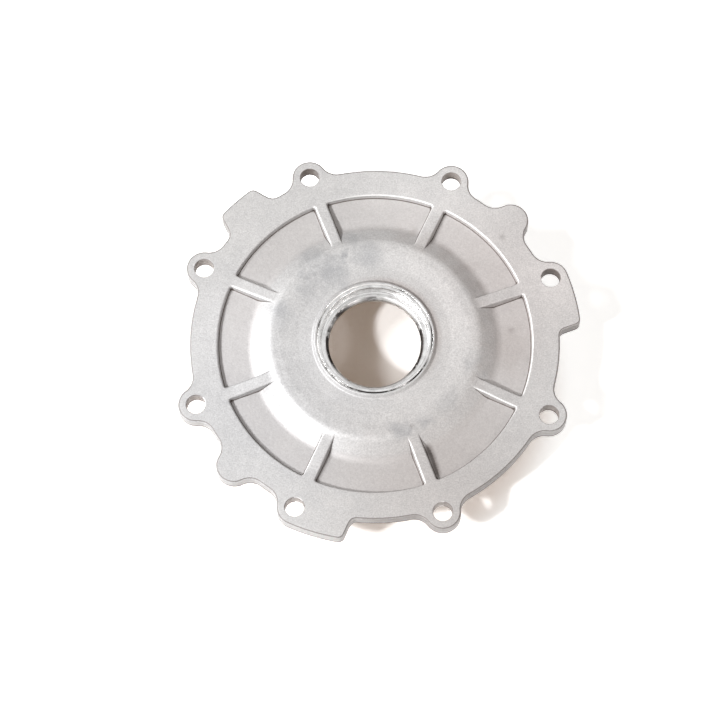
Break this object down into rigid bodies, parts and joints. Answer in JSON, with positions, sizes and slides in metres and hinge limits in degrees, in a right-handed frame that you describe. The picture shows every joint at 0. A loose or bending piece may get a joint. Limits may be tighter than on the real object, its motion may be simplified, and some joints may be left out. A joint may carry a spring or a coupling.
{
  "type": "bearing housing",
  "caption": "Round cast bearing housing with a scalloped bolt flange, ribbed pockets, a domed centre with a seal seat, and a bearing boss behind.",
  "frame": {"origin": "centre of the bolt circle, on the bore's axis in the face that bolts to the case", "axes": "+Z along the bore's axis, out of the seal seat and away from the case; the key tab is at 135 degrees from +X towards +Y"},
  "size_m": [0.1849, 0.1849, 0.0355],
  "materials": {
    "cast_aluminium": "as cast with a fine matt grain; the lip, the seats and the mounting faces are machined"
  },
  "bodies": {
    "root": {"housing": "cast_aluminium"}
  },
  "joints": []
}
